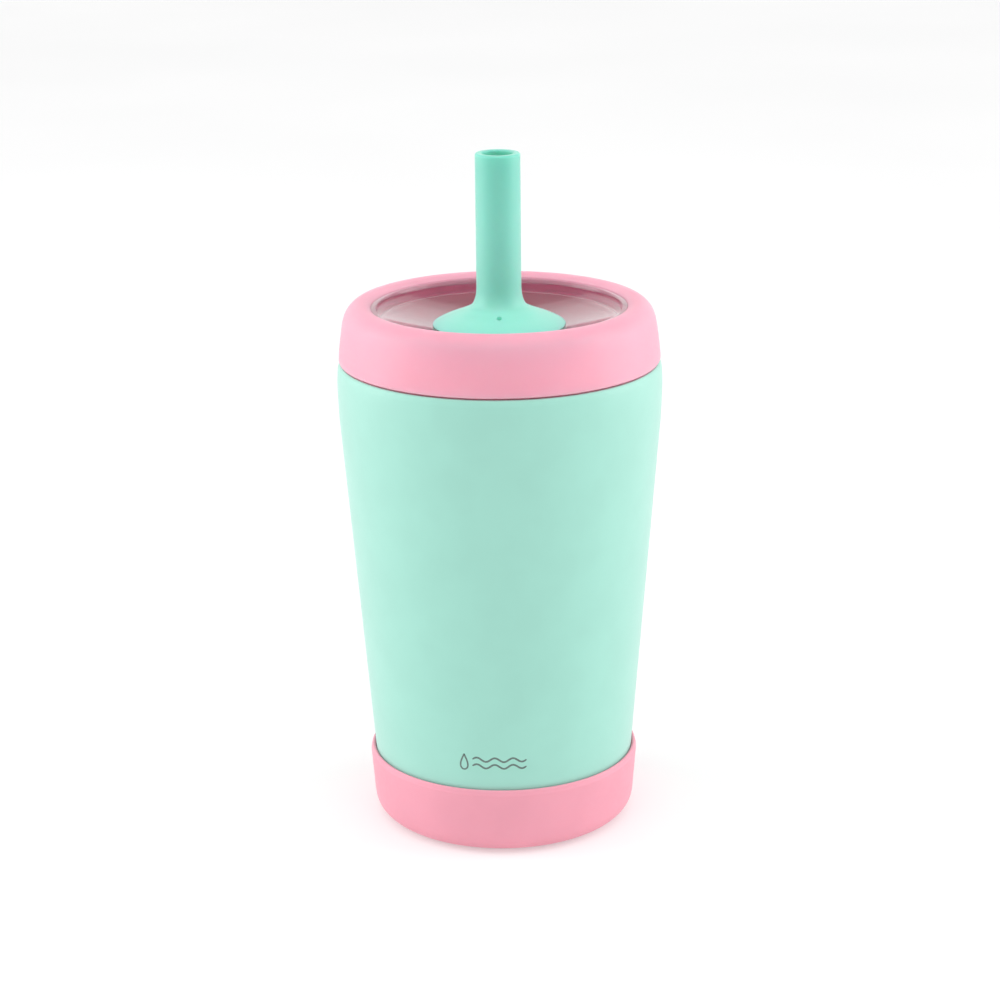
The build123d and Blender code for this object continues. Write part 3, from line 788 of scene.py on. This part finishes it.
# ------------------------------------------------------------------ stage
bm = bmesh.new()
bmesh.ops.create_circle(bm, cap_ends=True, segments=96, radius=6.0)
me = bpy.data.meshes.new("floor")
bm.to_mesh(me)
bm.free()
floor = bpy.data.objects.new("floor", me)
floor.location.z = CAD_BOX[0][2] - 0.0002
bpy.context.scene.collection.objects.link(floor)
fm = Mat("pale_floor").set(Roughness=0.9, Specular_IOR_Level=0.1, Emission_Strength=0.37)
fm.b.inputs["Emission Color"].default_value = (1, 1, 1, 1)
fm.tint(fm.noise(3, 2), (0.57, 0.57, 0.57, 1), (0.59, 0.59, 0.59, 1))
floor.data.materials.append(fm.m)

# studio: a white backdrop that ends some way up behind the cup, a dimmer ceiling, pale room in front
world = bpy.data.worlds.new("studio")
bpy.context.scene.world = world
world.use_nodes = True
nt = world.node_tree
nt.nodes.clear()
out = nt.nodes.new("ShaderNodeOutputWorld")
bg = nt.nodes.new("ShaderNodeBackground")
tc = nt.nodes.new("ShaderNodeTexCoord")


def along(direction, lo, hi, a, b, smooth=True):
    """Value that goes from a to b as the sky direction turns towards `direction`."""
    dot = nt.nodes.new("ShaderNodeVectorMath")
    dot.operation = "DOT_PRODUCT"
    nt.links.new(tc.outputs["Generated"], dot.inputs[0])
    dot.inputs[1].default_value = direction
    mr = nt.nodes.new("ShaderNodeMapRange")
    mr.interpolation_type = "SMOOTHSTEP" if smooth else "LINEAR"
    mr.inputs["From Min"].default_value = lo
    mr.inputs["From Max"].default_value = hi
    mr.inputs["To Min"].default_value = a
    mr.inputs["To Max"].default_value = b
    nt.links.new(dot.outputs["Value"], mr.inputs["Value"])
    return mr.outputs["Result"]


def math_node(op, a, b):
    m = nt.nodes.new("ShaderNodeMath")
    m.operation = op
    for i, v in enumerate((a, b)):
        if isinstance(v, float):
            m.inputs[i].default_value = v
        else:
            nt.links.new(v, m.inputs[i])
    return m.outputs[0]


EDGE = math.radians(34.5)      # how far up the backdrop reaches
BACKDROP, CEILING, FRONT, TOP = 1.22, 0.54, 0.55, 1.66
over = along((0, -math.sin(EDGE), math.cos(EDGE)), 0.0, 0.035, 0.0, 1.0)
behind = along((0, 1, 0), -0.35, 0.10, 0.0, 1.0)
low = along((0, 0, 1), 0.25, 0.60, 1.0, 0.0)
# behind the cup: backdrop below its edge, ceiling above; in front: pale room below, ceiling above
back_l = math_node("ADD", math_node("MULTIPLY", over, CEILING - BACKDROP), BACKDROP)
front_l = math_node("ADD", math_node("MULTIPLY", low, FRONT - CEILING), CEILING)
level = math_node("ADD", math_node("MULTIPLY", behind, math_node("SUBTRACT", back_l, front_l)), front_l)
# big overhead softbox
above = along((0, -0.42, 0.9075), 0.74, 0.84, 0.0, 1.0)
level = math_node("ADD", math_node("MULTIPLY", above, math_node("SUBTRACT", TOP, level)), level)
comb = nt.nodes.new("ShaderNodeCombineXYZ")
for i in range(3):
    nt.links.new(level, comb.inputs[i])
nt.links.new(comb.outputs[0], bg.inputs["Color"])
bg.inputs["Strength"].default_value = 1.0
nt.links.new(bg.outputs[0], out.inputs[0])


def softbox(name, loc, aim, w, h, watts):
    la = bpy.data.lights.new(name, "AREA")
    la.shape = "RECTANGLE"
    la.size, la.size_y = w, h
    la.energy = watts
    o = bpy.data.objects.new(name, la)
    bpy.context.scene.collection.objects.link(o)
    o.location = loc
    o.rotation_euler = (Vector(aim) - Vector(loc)).to_track_quat("-Z", "Y").to_euler()
    o.visible_camera = False
    return o


softbox("softbox_left", (-0.88, 0.04, 0.36), (0, 0, 0.10), 0.6, 0.9, 4.3)
softbox("softbox_right", (0.88, 0.04, 0.36), (0, 0, 0.10), 0.6, 0.9, 4.3)

# ------------------------------------------------------------------ camera
cam_data = bpy.data.cameras.new("camera")
cam_data.sensor_width = 36.0
cam_data.lens = 94.08
cam_data.clip_start = 0.01
cam_data.clip_end = 50.0
cam = bpy.data.objects.new("camera", cam_data)
bpy.context.scene.collection.objects.link(cam)
cam.matrix_world = (Matrix.Translation((-0.000312, -0.6541, 0.2911))
                    @ Matrix.Rotation(math.radians(90 - 17.426), 4, "X")
                    @ Matrix.Rotation(math.radians(-0.6217), 4, "Z"))
bpy.context.scene.camera = cam
bpy.context.scene.view_settings.view_transform = "Standard"
bpy.context.scene.view_settings.look = "None"
# light has to cross every wall of the clear dish on its way in and out
bpy.context.scene.cycles.transparent_max_bounces = 32

bpy.context.view_layer.update()
